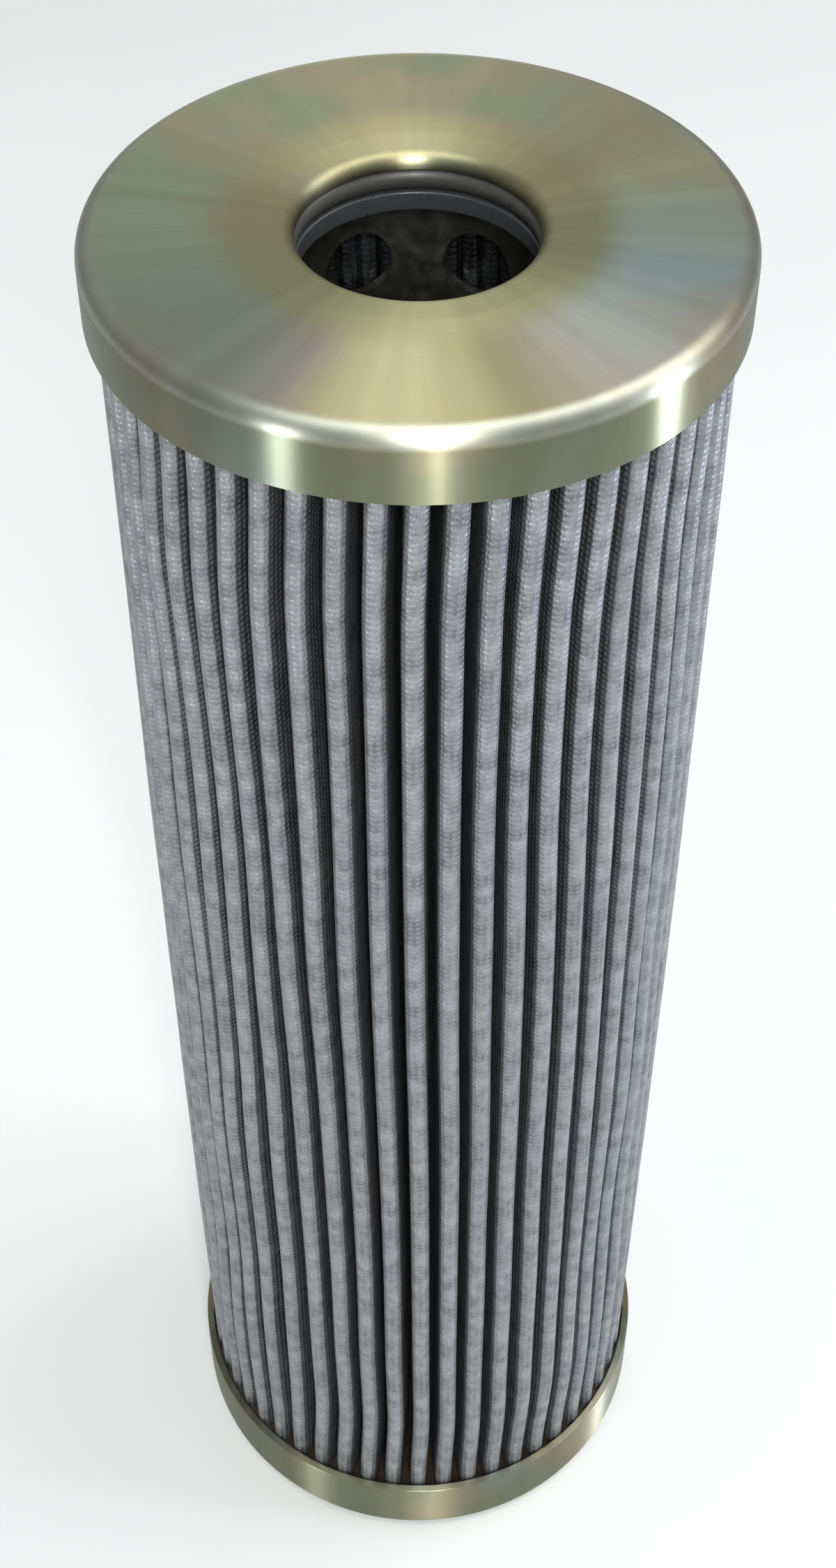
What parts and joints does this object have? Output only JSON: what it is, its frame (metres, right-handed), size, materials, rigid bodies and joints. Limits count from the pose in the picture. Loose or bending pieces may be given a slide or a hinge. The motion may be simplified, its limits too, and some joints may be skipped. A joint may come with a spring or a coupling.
{
  "type": "pleated filter element",
  "caption": "Tall pleated filter element with a bored steel cap on top, a closed steel cap below and wire mesh pleats round a perforated core tube.",
  "frame": {"origin": "on the element's axis at the closed end's outer face, which the element stands on", "axes": "+Z along the element's axis from the closed end to the open end, -Y towards the front pleat"},
  "size_m": [0.08, 0.08, 0.25],
  "materials": {
    "zinc_plated_cap": "drawn steel sheet, zinc plated and yellow passivated",
    "nitrile_rubber": "moulded, matt black",
    "moulded_retainer": "moulded black nylon",
    "perforated_core": "perforated and rolled steel sheet, zinc plated",
    "outer_mesh": "woven steel wire mesh, satin grey",
    "inner_mesh": "woven steel wire mesh, satin grey",
    "fleece": "thin polyester fleece",
    "glass_fibre": "glass fibre filter medium",
    "adhesive": "cast epoxy, dull dark brown"
  },
  "bodies": {
    "root": {"open_end_cap": "zinc_plated_cap", "closed_end_cap": "zinc_plated_cap", "bore_o_ring": "nitrile_rubber", "seal_retainer": "moulded_retainer", "core_tube": "perforated_core", "outer_wire_mesh": "outer_mesh", "upstream_fleece": "fleece", "glass_fibre_media": "glass_fibre", "downstream_fleece": "fleece", "inner_wire_mesh": "inner_mesh", "side_seam_bead": "adhesive", "open_end_adhesive": "adhesive", "closed_end_adhesive": "adhesive"}
  },
  "joints": []
}
